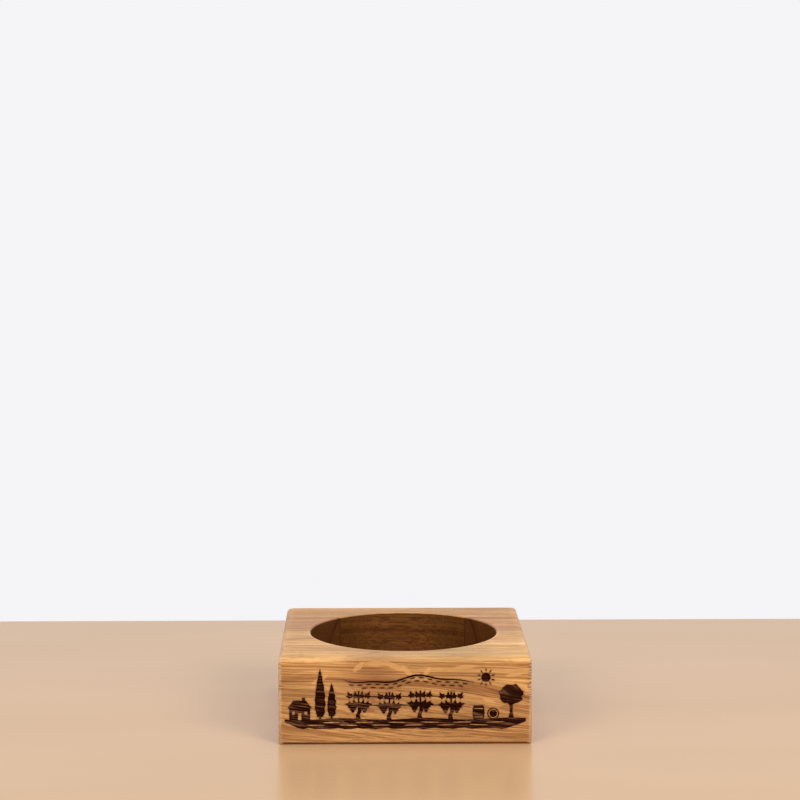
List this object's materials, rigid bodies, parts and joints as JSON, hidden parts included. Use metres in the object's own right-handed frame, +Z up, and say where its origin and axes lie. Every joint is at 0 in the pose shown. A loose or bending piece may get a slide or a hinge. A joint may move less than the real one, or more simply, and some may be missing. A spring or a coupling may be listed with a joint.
{
  "type": "wine bottle holder",
  "caption": "Square wooden bottle holder: a low block glued up from staves, with a round blind recess in its top for the bottle's foot and a burnt vineyard frieze on its front.",
  "frame": {"origin": "middle of the underside, on the surface that the block stands on", "axes": "+Z up along the recess's axis, the front face with the frieze towards -Y, the staves along X"},
  "size_m": [0.14, 0.14, 0.049],
  "materials": {
    "front_oak": "satin",
    "front_middle_oak": "satin",
    "rear_middle_oak": "satin",
    "rear_oak": "satin"
  },
  "bodies": {
    "root": {"front_stave": "front_oak", "front_middle_stave": "front_middle_oak", "rear_middle_stave": "rear_middle_oak", "rear_stave": "rear_oak"}
  },
  "joints": []
}
